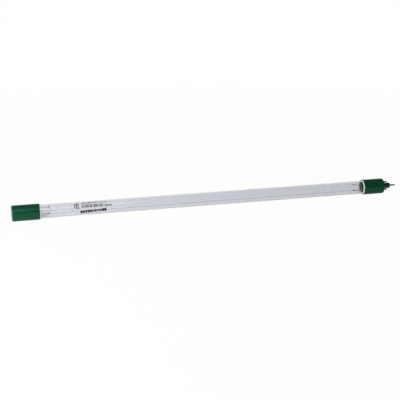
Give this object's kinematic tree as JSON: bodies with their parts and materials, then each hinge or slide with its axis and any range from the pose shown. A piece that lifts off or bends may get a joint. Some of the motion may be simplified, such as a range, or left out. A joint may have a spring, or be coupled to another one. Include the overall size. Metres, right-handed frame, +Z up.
{
  "type": "uvc germicidal lamp tube",
  "caption": "Slim single-ended germicidal discharge lamp: a clear quartz tube between a closed green end cap and a green pinned base with a stepped nose.",
  "frame": {"origin": "on the surface that the lamp lies on, below the middle of its length", "axes": "+Z up, +X along the lamp towards the pinned base, +Y away from the side that the return wires run along"},
  "size_m": [0.4438, 0.0174, 0.0174],
  "materials": {
    "quartz": "clear fused quartz, fire polished",
    "green_moulding": "deep green moulded resin, half gloss",
    "basing_cement": "reddish brown basing cement, matt",
    "seal_bead": "white sealing bead, satin",
    "pin_metal": "nickel-plated and dulled",
    "lead_metal": "drawn nickel-plated wire",
    "foil_metal": "rolled molybdenum foil",
    "coil_metal": "tungsten coil with pale emitter coating"
  },
  "bodies": {
    "root": {"quartz_envelope": "quartz", "blind_cap": "green_moulding", "base_shell": "green_moulding", "near_long_pin": "pin_metal", "far_long_pin": "pin_metal", "upper_short_pin": "pin_metal", "lower_short_pin": "pin_metal", "blind_upper_foil": "foil_metal", "blind_lower_foil": "foil_metal", "base_upper_foil": "foil_metal", "base_lower_foil": "foil_metal", "blind_upper_lead": "lead_metal", "blind_lower_lead": "lead_metal", "base_upper_lead": "lead_metal", "base_lower_lead": "lead_metal", "blind_filament": "coil_metal", "base_filament": "coil_metal", "upper_base_wire": "lead_metal", "lower_base_wire": "lead_metal", "near_return_wire": "lead_metal", "far_return_wire": "lead_metal", "blind_cement": "basing_cement", "base_cement": "basing_cement", "blind_seal_bead": "seal_bead", "base_seal_bead": "seal_bead"}
  },
  "joints": []
}
